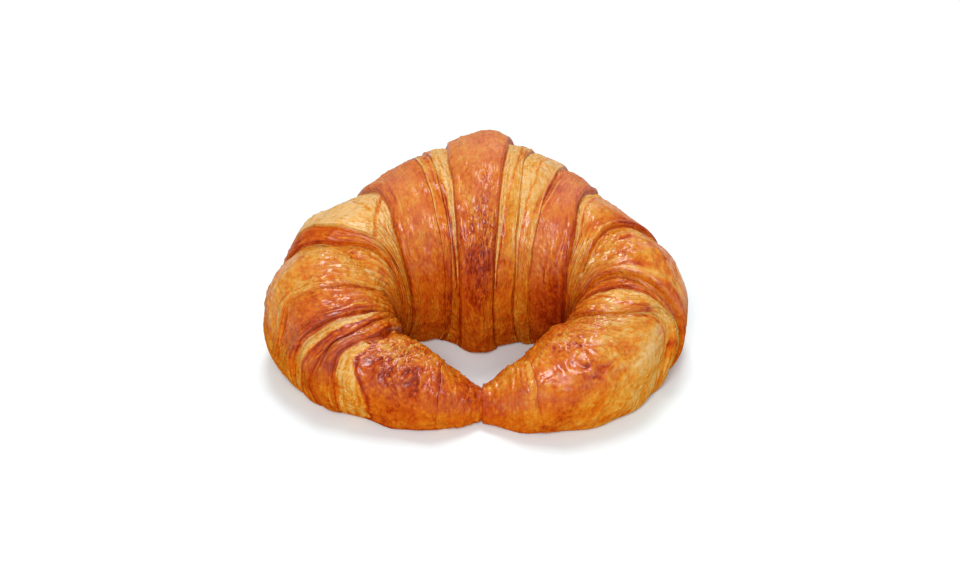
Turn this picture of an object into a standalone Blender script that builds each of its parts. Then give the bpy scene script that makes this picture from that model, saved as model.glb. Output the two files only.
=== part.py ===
"""A curved croissant whose two tips have baked together, so that the roll closes into a ring.

It is one solid. A torus is laid out as the rolled-up dough: its long way round follows the roll from the left tip,
over the belly, to the right tip, and its short way round follows the wraps. Every point is then placed by three
things: where the roll lies, how the wraps of dough step down from the belly to the tips, and a few dents and swellings.
"""

import math

import bpy
import numpy as np

MM = 0.001  # the tables and functions are in millimetres, and the mesh is in metres
NAME = "croissant"

# The roll lies in the XY plane, belly at +Y, tips meeting at -Y
HALF_ROLL = 125.0  # along the roll, from the middle of the belly to a tip
MIDDLE = (-1.8, 0.33)  # the middle of the croissant's width and depth, which becomes the origin
FLOOR_CUT = 0.16  # share of a full section that the baking tray flattens
FLOOR_BLEND = 2.2  # how far above the tray the flattened base starts to round up
TURN_SWAY = 0.15  # radians by which the belly's sections fan out less than an even turn

# Along the roll from the belly: centre x, centre y, half width, height
ROLL_STATIONS = (
    (-125, 0.5, -39.0, 5.2, 11.0),
    (-119, -6.5, -39.6, 7.4, 15.8),
    (-112, -13.0, -39.4, 9.6, 20.4),
    (-97, -26.8, -35.2, 11.8, 25.8),
    (-80, -40.5, -27.0, 17.6, 33.6),
    (-62, -47.8, -12.0, 19.8, 39.6),
    (-46, -43.0, 1.4, 20.4, 44.6),
    (-30, -30.8, 9.6, 22.2, 47.6),
    (-14, -15.5, 15.4, 28.4, 54.8),
    (2, 2.0, 17.6, 32.2, 58.2),
    (18, 17.5, 14.0, 27.2, 54.2),
    (33, 30.5, 6.6, 22.2, 47.8),
    (48, 41.0, -2.8, 19.0, 42.6),
    (63, 46.0, -13.8, 18.0, 39.0),
    (80, 39.8, -26.6, 16.0, 34.6),
    (97, 27.4, -35.4, 12.9, 30.0),
    (112, 13.5, -39.6, 10.8, 22.0),
    (119, 7.0, -39.4, 7.8, 16.0),
)

# Each wrap of dough ends in a lip that runs round the roll. For each: how far the lip is from the middle of the belly
# at five places round the roll, its height above the plain roll, the drop to the wrap below, and how far the wrap
# swells between its edges.
ROUND_ANGLES = (-90, -45, 0, 45, 90)  # inner side, inner shoulder, top, outer shoulder, outer side
LEFT_WRAPS = (
    ((11.3, 10.3, 8.8, 7.4, 8.0), 1.2, 2.2, 0.2),
    ((16.3, 13.9, 13.0, 13.2, 14.0), 0.2, 0.8, 0.1),
    ((19.6, 17.5, 16.7, 16.8, 17.4), 0.2, 0.4, 0.2),
    ((36.8, 34.9, 29.5, 29.2, 30.8), 0.7, 2.3, 0.4),
    ((41.2, 43.4, 48.8, 48.4, 48.8), 0.9, 0.8, 0.9),
    ((45.8, 46.6, 54.2, 54.6, 54.6), 0.7, 1.9, 0.2),
    ((53.0, 69.5, 72.6, 69.6, 71.6), 0.8, 0.9, 1.3),
    ((73.0, 81.0, 81.4, 77.6, 76.4), 0.4, 2.2, 0.3),
    ((78.5, 85.0, 87.0, 84.5, 82.0), 0.5, 0.9, 0.3),
    ((84.0, 89.0, 91.4, 87.0, 87.4), 0.8, 2.0, 0.4),
    ((110.0, 112.0, 113.0, 113.5, 113.0), 0.5, 0.4, 1.0),
)
RIGHT_WRAPS = (
    ((8.0, 7.2, 6.8, 7.2, 8.0), 1.3, 2.4, 0.3),
    ((20.8, 17.2, 13.3, 12.7, 13.5), 0.5, 1.1, 0.3),
    ((28.6, 25.6, 22.4, 21.0, 21.2), 0.2, 1.0, 0.4),
    ((51.8, 43.3, 32.3, 29.4, 29.0), 0.5, 2.0, 0.4),
    ((60.5, 51.8, 44.3, 46.0, 47.0), 0.8, 1.8, 0.6),
    ((66.1, 64.4, 65.1, 66.1, 67.1), 0.9, 3.0, 1.0),
    ((74.0, 72.5, 70.0, 69.8, 70.6), -0.2, 1.0, 0.3),
    ((89.2, 88.0, 84.3, 72.4, 73.2), 0.3, 1.8, 0.8),
    ((108.0, 110.0, 111.0, 111.0, 110.0), 0.6, 0.35, 1.4),
)
EDGE_WANDER = 0.45  # how far an edge strays to either side of its line
LIP_ROUND = 0.4  # how far back a lip starts to round over, as a share of its drop
LIP_FOOT = 0.35  # how far past its lip a drop ends on the upper side, as a share of it
BASE_FOOT = 0.8  # and in millimetres on the base
BASE_DROP = 0.15  # share of a drop that is left on the flat base
LEFT_TIP = -0.8  # the tips meet in a pinched seam, where the right one laps over the left
RIGHT_TIP = 0.5
BELLY_RISE = 1.6  # the middle of the belly above the plain roll
PILLOW = 0.35  # uneven puffing of the dough
CROWDING = 0.75  # share of the relief that the inner bends squeeze away

# Swellings and hollows: along the roll, angle round it, reach along, reach round in degrees, height
SWELLINGS = (
    (0, -112, 13, 30, 2.6),  # the last wrap sags over the front of the belly
    (-57, -28, 4, 22, -1.8),  # the hollow under that shoulder's ridge
    (68, -8, 4, 30, -1.6),  # the hollow under the right shoulder's ridge
    (-71, 25, 6, 50, 1.1),
    (55, 15, 8, 45, 0.8),
    (57, 62, 7, 28, 1.0),
    (48, 50, 5, 22, 1.0),
    (-55, 62, 3.5, 22, -1.6),
    (76, 105, 8, 30, -1.4),
    (-93, 118, 8, 30, -0.9),
    (92, 60, 12, 50, 0.8),
    (81, 126, 6, 24, 1.8),
    (114, -56, 6, 30, -1.2),
    (-8, 46, 4, 20, -0.9),
    (11, 46, 3, 20, -0.8),
    (24, 50, 4, 22, -0.9),
    (-30, 48, 7, 22, -0.7),
)

SKIN_STEP = 2.0  # along the roll, between points on a wrap
AROUND = 36  # points round the roll


def through(places, values, at, period):
    """A smooth closed curve through the values, read at other places."""
    places = np.concatenate([np.subtract(places, period), places, np.add(places, period)])
    values = np.tile(values, 3)
    slopes = np.zeros(len(values))
    slopes[1:-1] = (values[2:] - values[:-2]) / (places[2:] - places[:-2])
    at = (np.asarray(at) + period / 2) % period - period / 2
    left = np.clip(np.searchsorted(places, at, side="right") - 1, 0, len(places) - 2)
    gap = places[left + 1] - places[left]
    share = (at - places[left]) / gap
    squared, cubed = share**2, share**3
    return (
        (2 * cubed - 3 * squared + 1) * values[left]
        + (cubed - 2 * squared + share) * gap * slopes[left]
        + (3 * squared - 2 * cubed) * values[left + 1]
        + (cubed - squared) * gap * slopes[left + 1]
    )


def roll_at(along):
    """Centre x and y, half width and height of the roll."""
    table = np.array(ROLL_STATIONS, float)
    return [through(table[:, 0], table[:, k], along, 2 * HALF_ROLL) for k in (1, 2, 3, 4)]


def on_tray(z):
    """Heights with the base pressed flat at zero."""
    blended = (z + FLOOR_BLEND) ** 2 / (4 * FLOOR_BLEND)
    return np.where(z > FLOOR_BLEND, z, np.where(z < -FLOOR_BLEND, 0.0, blended))


def surface(along, angle, rise):
    """Points of the crust. The angle is 0 on top and 90 degrees on the outer side, and rise is out of the plain roll."""
    x, y, half_width, height = roll_at(along)
    turn = math.pi * along / HALF_ROLL
    facing = turn - TURN_SWAY * np.sin(2 * turn)
    half_height = height / (2 - 2 * FLOOR_CUT)
    out = (half_width + rise) * np.sin(np.radians(angle))
    up = height - half_height + (half_height + rise) * np.cos(np.radians(angle))
    x, y = x + np.sin(facing) * out - MIDDLE[0], y + np.cos(facing) * out - MIDDLE[1]
    return np.stack([x, y, on_tray(up)], axis=-1)


def wander(angle, seed):
    """An uneven line round the roll, between about -1 and 1."""
    turned = np.radians(angle)
    return (
        0.5 * np.sin(3 * turned + 1.7 * seed)
        + 0.3 * np.sin(7 * turned + 2.9 * seed)
        + 0.2 * np.sin(13 * turned + 4.1 * seed)
    )


def edge_line(positions, angle, seed):
    """An edge's distance from the middle of the belly, at each angle."""
    under = (positions[0] + positions[-1]) / 2
    line = through((*ROUND_ANGLES, 180), (*positions, under), angle, 360)
    return line + EDGE_WANDER * wander(angle, seed)


def edge_drop(drop, angle, seed):
    """How far the surface drops at an edge. It fades on the flat base and is uneven elsewhere."""
    share_up = (1 + np.cos(np.radians(angle))) / 2
    fade = BASE_DROP + (1 - BASE_DROP) * np.clip(2.4 * share_up - 0.3, 0, 1)
    return drop * fade * (1 + 0.22 * wander(angle, seed + 0.5))


def skin_share(count):
    """Places across a wrap, closer together at both its edges."""
    even = np.arange(count) / (count - 1)
    return 0.6 * even + 0.4 * (1 - np.cos(math.pi * even)) / 2


def side_columns(wraps, tip, angle):
    """Lines of points round the roll, from the belly's middle out to a tip: how far along, and how far out."""
    columns = []
    start, level = np.zeros_like(angle), None
    under = np.clip(-np.cos(np.radians(angle)) / 0.6, 0, 1)
    for number, (positions, height, drop, swell) in enumerate((*wraps, (None, tip, 0, 0.3))):
        last = positions is None
        end = np.full_like(angle, HALF_ROLL) if last else edge_line(positions, angle, number + len(wraps))
        fall = np.zeros_like(angle) if last else edge_drop(drop, angle, number + len(wraps))
        top = np.full_like(angle, height)
        width = end - LIP_ROUND * fall - start
        count = max(3, round(float(np.median(width)) / SKIN_STEP) + 1)
        for share in skin_share(count)[: -1 if last else None]:
            if level is None:
                out = BELLY_RISE + (top - BELLY_RISE) * share**2
            else:
                out = level + (top - level) * share**0.7 + swell * math.sin(math.pi * share)
            columns.append((start + width * share, out))
        if last:
            break
        columns.append((end, top - 0.4 * fall))
        start, level = end + LIP_FOOT * fall + BASE_FOOT * under, top - fall
    columns.append((np.full_like(angle, HALF_ROLL), np.full_like(angle, tip)))
    return columns


def swellings(along, angle):
    """The sum of the soft swellings and hollows, and of the uneven puffing."""
    turned, way = np.radians(angle), along / HALF_ROLL * math.pi
    total = PILLOW * (
        np.sin(9 * way + 2 * turned + 0.7)
        + 0.7 * np.sin(14 * way - 4 * turned + 2.1)
        + 0.5 * np.sin(23 * way + 5 * turned + 4.0)
    )
    for place, turned, reach, reach_round, height in SWELLINGS:
        off = (along - place + HALF_ROLL) % (2 * HALF_ROLL) - HALF_ROLL
        round_off = (angle - turned + 180) % 360 - 180
        total += height * np.exp(-((off / reach) ** 2) - (round_off / reach_round) ** 2)
    return total


def crowded(along, angle):
    """1 in the two inner bends, where the wraps are pressed together, and 0 away from them."""
    off = np.minimum(1, np.abs(np.abs(along) - 62) / 34)
    round_off = np.minimum(1, np.abs((angle + 90 + 180) % 360 - 180) / 75)
    return (1 - off**2) ** 2 * (1 - round_off**2) ** 2


def crust_points(angle):
    """Every point of the crust, as lines from the left tip to the right tip, and round the roll within a line."""
    left = side_columns(LEFT_WRAPS, LEFT_TIP, angle)
    right = side_columns(RIGHT_WRAPS, RIGHT_TIP, angle)
    columns = [(-along, rise) for along, rise in reversed(left[1:])] + right[:-1]
    along = np.array([c[0] for c in columns])
    rise = np.array([c[1] for c in columns])
    angles = np.broadcast_to(angle, along.shape)
    return surface(along, angles, (rise + swellings(along, angles)) * (1 - CROWDING * crowded(along, angles)))


def ring_of(points):
    """A torus with one point for each of these, moved to them."""
    lines, around = points.shape[:2]
    bpy.ops.mesh.primitive_torus_add(major_segments=lines, minor_segments=around, major_radius=1, minor_radius=0.5)
    ring = bpy.context.object
    vertices = ring.data.vertices
    place = np.empty(len(vertices) * 3)
    vertices.foreach_get("co", place)
    x, y, z = place.reshape(-1, 3).T
    # A torus starts at +X and runs towards +Y. The roll starts at -Y and runs by -X, +Y and +X.
    line = np.round((270 - np.degrees(np.arctan2(y, x))) / 360 * lines).astype(int) % lines
    turned = 90 - np.degrees(np.arctan2(z, np.hypot(x, y) - 1))
    step = np.round((turned + 180) / 360 * around).astype(int) % around
    vertices.foreach_set("co", (points[line, step] * MM).ravel())
    ring.data.update()
    return ring


def crust_material():
    material = bpy.data.materials.new("baked crust")
    material.use_nodes = True
    shader = material.node_tree.nodes["Principled BSDF"]
    shader.inputs["Base Color"].default_value = (0.56, 0.21, 0.045, 1)
    shader.inputs["Roughness"].default_value = 0.45
    shader.inputs["Metallic"].default_value = 0
    return material


def main():
    for old in list(bpy.data.objects):
        bpy.data.objects.remove(old)
    parts = bpy.data.collections.new(NAME)
    bpy.context.scene.collection.children.link(parts)
    angle = np.arange(AROUND) / AROUND * 360 - 180
    croissant = ring_of(crust_points(angle))
    croissant.name = croissant.data.name = NAME
    for collection in list(croissant.users_collection):
        collection.objects.unlink(croissant)
    parts.objects.link(croissant)
    croissant.data.materials.append(crust_material())
    croissant.data.shade_smooth()


main()
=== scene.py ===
"""A curved croissant whose two tips have baked together, on a pale floor.

The crust is five closed sleeves, which part below a lip, where a wrap of dough ends in an edge anyway. Each
starts as a torus: one way round it runs along a stretch of the rolled-up dough and back inside it, and the
other goes round the roll. Lines of points run along every lip, so that each wrap ends in a real edge with a
drop below it. Finer relief is laid over that: cut layers of dough beside the lips, grainy crumb on the pale
strips, puckers and blisters in the glazed skin, and pleats at the tips and in the inner bends. What is
painted on the points feeds one material, which adds the colours of the baking, the glaze and the finest
relief. Painted light and shade go into the colours as well: a pinkish painted sheen where the glaze is
dull, paler blister tops and ridges as painted highlights, and darker creases, cracks and faces of the
drops as painted shade.
"""

import itertools
import math

import bpy
import numpy as np
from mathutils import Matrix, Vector


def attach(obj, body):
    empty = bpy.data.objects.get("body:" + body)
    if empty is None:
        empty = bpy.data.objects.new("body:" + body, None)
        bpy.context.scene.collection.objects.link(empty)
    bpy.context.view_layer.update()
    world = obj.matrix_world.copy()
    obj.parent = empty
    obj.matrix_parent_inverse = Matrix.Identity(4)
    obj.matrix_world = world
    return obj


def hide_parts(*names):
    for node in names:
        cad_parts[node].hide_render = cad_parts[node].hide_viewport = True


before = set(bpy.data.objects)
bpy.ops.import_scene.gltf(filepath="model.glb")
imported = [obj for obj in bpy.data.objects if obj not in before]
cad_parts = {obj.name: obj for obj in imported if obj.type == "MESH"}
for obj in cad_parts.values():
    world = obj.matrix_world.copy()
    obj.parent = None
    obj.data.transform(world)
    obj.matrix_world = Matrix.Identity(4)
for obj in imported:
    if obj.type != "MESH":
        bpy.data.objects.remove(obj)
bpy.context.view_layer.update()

MM = 0.001  # the tables and functions are in millimetres, and the mesh is in metres

# The roll lies in the XY plane, belly at +Y, tips meeting at -Y
HALF_ROLL = 125.0  # along the roll, from the middle of the belly to a tip
MIDDLE = (-1.8, 0.33)  # the middle of the croissant's width and depth, which is the origin
FLOOR_CUT = 0.16  # share of a full section that the baking tray flattens
FLOOR_BLEND = 2.2  # how far above the tray the rounding of the flattened base ends
TURN_SWAY = 0.15  # radians by which the belly's sections fan out less than an even turn

# Along the roll from the belly: centre x, centre y, half width, height
ROLL_STATIONS = (
    (-125, 0.5, -39.0, 5.2, 11.0),
    (-119, -6.5, -39.6, 7.4, 15.8),
    (-112, -13.0, -39.4, 9.6, 20.4),
    (-97, -26.8, -35.2, 11.8, 25.8),
    (-80, -40.5, -27.0, 17.6, 33.6),
    (-62, -47.8, -12.0, 19.8, 39.6),
    (-46, -43.0, 1.4, 20.4, 44.6),
    (-30, -30.8, 9.6, 22.2, 47.6),
    (-14, -15.5, 15.4, 28.4, 54.8),
    (2, 2.0, 17.6, 32.2, 58.2),
    (18, 17.5, 14.0, 27.2, 54.2),
    (33, 30.5, 6.6, 22.2, 47.8),
    (48, 41.0, -2.8, 19.0, 42.6),
    (63, 46.0, -13.8, 18.0, 39.0),
    (80, 39.8, -26.6, 16.0, 34.6),
    (97, 27.4, -35.4, 12.9, 30.0),
    (112, 13.5, -39.6, 10.8, 22.0),
    (119, 7.0, -39.4, 7.8, 16.0),
)

# Each wrap of dough ends in a lip that runs round the roll. For each: how far the lip is from the middle of
# the belly at five places round the roll, its height above the plain roll, the drop to the wrap below, and
# how far the wrap swells between its edges.
ROUND_ANGLES = (-90, -45, 0, 45, 90)  # inner side, inner shoulder, top, outer shoulder, outer side
LEFT_WRAPS = (
    ((11.3, 10.3, 8.8, 7.4, 8.0), 1.2, 2.2, 0.2),
    ((16.3, 13.9, 13.0, 13.2, 14.0), 0.2, 0.8, 0.1),
    ((19.6, 17.5, 16.7, 16.8, 17.4), 0.2, 0.4, 0.2),
    ((36.8, 34.9, 29.5, 29.2, 30.8), 0.7, 2.3, 0.4),
    ((41.2, 43.4, 48.8, 48.4, 48.8), 0.9, 0.8, 0.9),
    ((45.8, 46.6, 54.2, 54.6, 54.6), 0.7, 1.9, 0.2),
    ((53.0, 69.5, 72.6, 69.6, 71.6), 0.8, 0.9, 1.3),
    ((73.0, 81.0, 81.4, 77.6, 76.4), 0.4, 2.2, 0.3),
    ((78.5, 85.0, 87.0, 84.5, 82.0), 0.5, 0.9, 0.3),
    ((84.0, 89.0, 91.4, 87.0, 87.4), 0.8, 2.0, 0.4),
    ((110.0, 112.0, 113.0, 113.5, 113.0), 0.5, 0.4, 1.0),
)
RIGHT_WRAPS = (
    ((8.0, 7.2, 6.8, 7.2, 8.0), 1.3, 2.4, 0.3),
    ((20.8, 17.2, 13.3, 12.7, 13.5), 0.5, 1.1, 0.3),
    ((28.6, 25.6, 22.4, 21.0, 21.2), 0.2, 1.0, 0.4),
    ((51.8, 43.3, 32.3, 29.4, 29.0), 0.5, 2.0, 0.4),
    ((60.5, 51.8, 44.3, 46.0, 47.0), 0.8, 1.8, 0.6),
    ((66.1, 64.4, 65.1, 66.1, 67.1), 0.9, 3.0, 1.0),
    ((74.0, 72.5, 70.0, 69.8, 70.6), -0.2, 1.0, 0.3),
    ((89.2, 88.0, 84.3, 72.4, 73.2), 0.3, 1.8, 0.8),
    ((108.0, 110.0, 111.0, 111.0, 110.0), 0.6, 0.35, 1.4),
)
EDGE_WANDER = 0.45  # how far an edge strays to either side of its line
WANDER_WAVES = ((3, 0.5, 1.7), (7, 0.3, 2.9), (13, 0.2, 4.1))  # waves round the roll, strength, turn per seed
DROP_WANDER, DROP_SEED = 0.22, 0.5  # share by which a drop varies along its edge, and what its seed adds
DROP_DEEPENS, DROP_STARTS = 2.4, 0.3  # how fast a drop deepens up from the base, and how late it starts to
BASE_DROP = 0.15  # share of a drop that is left on the flat base
LIP_ROUND = 0.4  # how far back a lip starts to round over, as a share of its drop
LIP_FOOT = 0.35  # how far past its lip a drop ends on the upper side, as a share of it
BASE_FOOT = 0.8  # and in millimetres on the base
BASE_BLEND = 0.6  # how far down the round of the roll the base's flatter lips take over
QUICK_RISE = 0.7  # below 1, a wrap rises most just past its drop
TIP_SWELL = 0.3  # how far the last wraps swell on their way to the tips
LEFT_TIP = -0.8  # the tips meet in a pinched seam, where the right one laps over the left
RIGHT_TIP = 0.5
BELLY_RISE = 1.6  # the middle of the belly above the plain roll

# The rounded nose of a lip and the face below it: past the lip and below it, as shares of the drop
LIP_PROFILE = ((-0.14, 0.05), (0.02, 0.22), (0.04, 0.5), (-0.03, 0.78), (0.06, 0.97))

# Uneven puffing of the dough: how high it is, and its waves. For each: its share of the height, how many
# there are along the ring and round the roll, and where it starts.
PILLOW = 0.35
PUFFS = ((1, 9, 2, 0.7), (0.7, 14, -4, 2.1), (0.5, 23, 5, 4.0))

# The two inner bends, where the wraps are squeezed together: their middle and reach along the roll and round
# it, and the share of the relief that they take away
BEND_AT, BEND_REACH = 62, 34
BEND_ANGLE, BEND_REACH_ROUND = -90, 75
CROWDING = 0.75

# Swellings and hollows: along the roll, angle round it, reach along, reach round in degrees, height
SWELLINGS = (
    (0, -112, 13, 30, 2.6),  # the last wrap sags over the front of the belly
    (-57, -28, 4, 22, -1.8),  # the hollow under the left shoulder's ridge
    (68, -8, 4, 30, -1.6),  # the hollow under the right shoulder's ridge
    (-71, 25, 6, 50, 1.1),
    (55, 15, 8, 45, 0.8),
    (57, 62, 7, 28, 1.0),
    (48, 50, 5, 22, 1.0),
    (-55, 62, 3.5, 22, -1.6),
    (76, 105, 8, 30, -1.4),
    (-93, 118, 8, 30, -0.9),
    (92, 60, 12, 50, 0.8),
    (81, 126, 6, 24, 1.8),
    (114, -56, 6, 30, -1.2),
    (-8, 46, 4, 20, -0.9),
    (11, 46, 3, 20, -0.8),
    (24, 50, 4, 22, -0.9),
    (-30, 48, 7, 22, -0.7),
)

SKIN_STEP = 0.31  # along the roll, between points on a wrap
FEWEST_LINES = 4  # of points on a wrap
NO_DROP = 99.0  # stands for how far past a drop the middle wrap is, which has none
SEEN_FROM, SEEN_TO = -116, 132  # the angles between which the points lie close round the roll

# The pieces of the crust, which part below a lip. For each: its first and its last wrap, counted from the
# middle of the belly and negative on the left, and the points round the roll on the sides and the top, and on
# the base.
PIECES = (
    ("left_arm", -12, -7, 220, 36),
    ("left_shoulder", -6, -5, 280, 44),
    ("belly", -4, 3, 350, 56),
    ("right_shoulder", 4, 5, 280, 44),
    ("right_arm", 6, 9, 220, 36),
)

# How the ends of the pieces run on inside the next ones: along the roll, and towards its middle as a share of
# the way. At the tips the left end runs on inside the right one.
UNDER_A_LIP = ((0.7, 0.015), (1.5, 0.1), (2.0, 0.4))
AT_A_LIP = ((0.0, 0.03), (0.0, 0.2), (0.0, 0.4))
LEFT_END = ((1.2, 0.04), (1.6, 0.2), (1.6, 0.45))
RIGHT_END = ((0.3, 0.03), (0.4, 0.2), (0.4, 0.45))
INNER_LINES, INNER_WALL = 9, 0.5  # lines of a sleeve's inner wall, and how far in it lies as such a share

# How each wrap is baked, in the order of the wraps and then the tip. Tones run from 0, pale crumb, over gold,
# orange and orange-brown to 1, nearly burnt. For each: the tone after its pale strip and the tone at its lip,
# at the five places round the roll, the width of the pale strip below the last lip there, its tone, and how
# far back from the lip the cut layers of the dough show.
NO_STRIP = (0, 0, 0, 0, 0)  # the widths where a wrap has no pale strip
LEFT_BAKE = (
    ((0.64, 0.44, 0.44, 0.46, 0.52), (0.64, 0.60, 0.42, 0.46, 0.52), NO_STRIP, 0.1, 0.5),
    ((0.58, 0.56, 0.18, 0.14, 0.30), (0.60, 0.60, 0.22, 0.22, 0.40), (0, 1.2, 3.0, 3.0, 2.0), 0.12, 0.9),
    ((0.80, 0.48, 0.40, 0.44, 0.45), (0.68, 0.60, 0.30, 0.32, 0.45), (0, 0, 0.3, 0.3, 0), 0.28, 1.2),
    ((0.66, 0.53, 0.53, 0.50, 0.52), (0.60, 0.56, 0.48, 0.44, 0.50), NO_STRIP, 0.4, 4.2),
    ((0.58, 0.22, 0.03, 0.06, 0.20), (0.52, 0.28, 0.12, 0.10, 0.32), (0, 0.5, 6.0, 6.0, 3.0), 0.05, 0.8),
    ((0.56, 0.38, 0.64, 0.62, 0.56), (0.56, 0.40, 0.66, 0.64, 0.58), NO_STRIP, 0.4, (6, 9, 3, 1.6, 2)),
    ((0.54, 0.26, 0.27, 0.34, 0.44), (0.50, 0.28, 0.40, 0.34, 0.44), NO_STRIP, 0.25, 1.8),
    ((0.58, 0.48, 0.50, 0.52, 0.52), (0.58, 0.44, 0.62, 0.74, 0.46), NO_STRIP, 0.25, 2.6),
    ((0.60, 0.18, 0.20, 0.34, 0.28), (0.60, 0.40, 0.74, 0.80, 0.68), (0, 0.6, 3.0, 2.8, 1.6), 0.06, 2.2),
    ((0.64, 0.40, 0.42, 0.70, 0.58), (0.66, 0.38, 0.54, 0.84, 0.54), NO_STRIP, 0.3, 3.0),
    ((0.78, 0.50, 0.28, 0.60, 0.66), (0.78, 0.52, 0.48, 0.80, 0.54), (0, 0.4, 1.4, 2.9, 7.0), 0.14, 0),
    ((0.74, 0.56, 0.36, 0.76, 0.48), (0.76, 0.62, 0.80, 0.66, 0.64), NO_STRIP, 0.3, 0),
)
RIGHT_BAKE = (
    ((0.62, 0.44, 0.50, 0.50, 0.52), (0.62, 0.55, 0.50, 0.50, 0.52), NO_STRIP, 0.1, 0.8),
    ((0.56, 0.44, 0.12, 0.16, 0.35), (0.64, 0.32, 0.24, 0.30, 0.42), (0, 1.6, 2.8, 2.4, 2.0), 0.12, 2.0),
    ((0.45, 0.42, 0.12, 0.18, 0.35), (0.52, 0.27, 0.15, 0.20, 0.35), (0, 1.0, 4.0, 3.0, 2.0), 0.12, 0.8),
    ((0.72, 0.46, 0.50, 0.48, 0.52), (0.88, 0.68, 0.62, 0.50, 0.52), NO_STRIP, 0.3, 0.6),
    ((0.86, 0.40, 0.22, 0.34, 0.42), (0.64, 0.38, 0.52, 0.60, 0.55), (0, 0.6, 1.6, 1.2, 1.0), 0.14, 1.4),
    ((0.62, 0.32, 0.33, 0.42, 0.46), (0.64, 0.53, 0.36, 0.46, 0.50), NO_STRIP, 0.3, 4.2),
    ((0.64, 0.58, 0.46, 0.50, 0.40), (0.64, 0.56, 0.68, 0.38, 0.40), NO_STRIP, 0.4, (4, 4, 2.4, 2.4, 2)),
    ((0.62, 0.44, 0.16, 0.34, 0.20), (0.64, 0.50, 0.32, 0.42, 0.30), (0, 0.5, 7.0, 2.0, 0.5), 0.2, 1.0),
    ((0.72, 0.48, 0.27, 0.26, 0.14), (0.74, 0.60, 0.40, 0.60, 0.48), (0, 0, 0, 0.8, 1.2), 0.16, 0),
    ((0.74, 0.60, 0.36, 0.54, 0.52), (0.76, 0.62, 0.34, 0.74, 0.64), NO_STRIP, 0.3, 0),
)

# Patches of other tone: along the roll, angle round it, reach along, reach round in degrees, change of tone
PATCHES = (
    (-1, -68, 7, 16, 0.26),  # the front of the belly, darkest
    (0, -28, 6, 10, 0.06),
    (3, -100, 10, 12, -0.08),
    (-27, 8, 2.2, 10, 0.12),
    (-6, -28, 3, 10, -0.10),
    (-24, -30, 4, 16, -0.05),
    (-56, -30, 2.6, 13, 0.26),  # deep orange under the ridges, partly painted shade in the hollow there
    (67.5, -8, 2.4, 20, 0.05),
    (59, -58, 3, 6, 0.10),
    (-51, -42, 2.2, 9, 0.14),
    (-53, -54, 1.8, 5, 0.25),
    (-64, -18, 5, 14, -0.10),  # pale blisters on the left shoulder
    (-60, -42, 3, 7, -0.20),
    (-38, -22, 4, 11, -0.12),
    (-44, -52, 3, 9, 0.14),
    (-67, 8, 4, 18, 0.06),
    (-70, 48, 3.5, 16, 0.02),
    (-104, 52, 9, 20, -0.10),  # the left arm's shoulder
    (-103, 12, 7, 12, -0.10),
    (-104, -16, 8, 7, 0.16),
    (-95, 12, 4, 12, -0.12),
    (-106, 95, 8, 18, 0.05),
    (44, 26, 2.6, 12, 0.18),
    (36, 2, 1.6, 14, -0.12),
    (41.8, -8, 1.8, 10, 0.24),
    (71, -30, 2.5, 14, 0.12),
    (62, 8, 0.9, 18, 0.24),
    (64, 34, 0.9, 26, -0.20),
    (25, -12, 1.4, 18, 0.20),
    (87, 30, 6, 12, -0.12),
    (81, 62, 5, 18, -0.20),
    (97, -28, 6, 7, 0.22),
    (101, 8, 6, 14, 0.04),
    (104, 82, 6, 22, 0.08),
    (94, 114, 2, 5, 0.30),
    (112, 50, 0.9, 40, -0.14),
)

# Where the glaze is cracked and blistered more than elsewhere, or less: as above, and how much
BLISTERED = (
    (-1, -50, 7, 34, 0.8),
    (0, 5, 8, 22, -0.3),
    (-24, 5, 6, 30, -0.4),
    (30, 5, 6, 30, -0.4),
    (-103, 20, 12, 50, 0.8),
    (97, 20, 14, 60, 0.5),
    (-64, -15, 8, 30, 0.5),
    (57, -15, 6, 40, 0.5),
)

# Where the glaze is dull: as above, the share of the shine that is lost, and the strength of a painted sheen,
# a pinkish tint that stands in for the soft reflection of the dull glaze
DULL_GLAZE_AND_SHEEN = (
    (0, 50, 14, 36, 0.9, 0.9),
    (0, 12, 10, 26, 0.75, 0.9),
    (0, -24, 8, 14, 0.4, 0.5),
    (-24, 60, 10, 40, 0.8, 0.7),
    (-24, 12, 7, 32, 0.8, 0.8),
    (-24, -28, 6, 22, 0.6, 0.5),
    (27, 60, 10, 40, 0.8, 1.0),
    (28, 12, 8, 32, 0.85, 1.0),
    (29, -30, 7, 24, 0.7, 0.5),
    (11, 0, 6, 60, 0.6, 0),
    (-15, 0, 4, 60, 0.4, 0),
    (-45, 40, 9, 50, 0.6, 0),
    (-40, -5, 5, 30, 0.7, 0),
    (-52, 10, 4, 60, 0.8, 0),
    (-57, -30, 3, 14, 0.6, 0),
    (45, 50, 9, 50, 0.6, 0),
    (68, -8, 3, 22, 0.6, 0),
    (-106, 52, 9, 26, 0.45, 0),
    (-71, 34, 5, 20, 0.4, 0),
)

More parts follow.
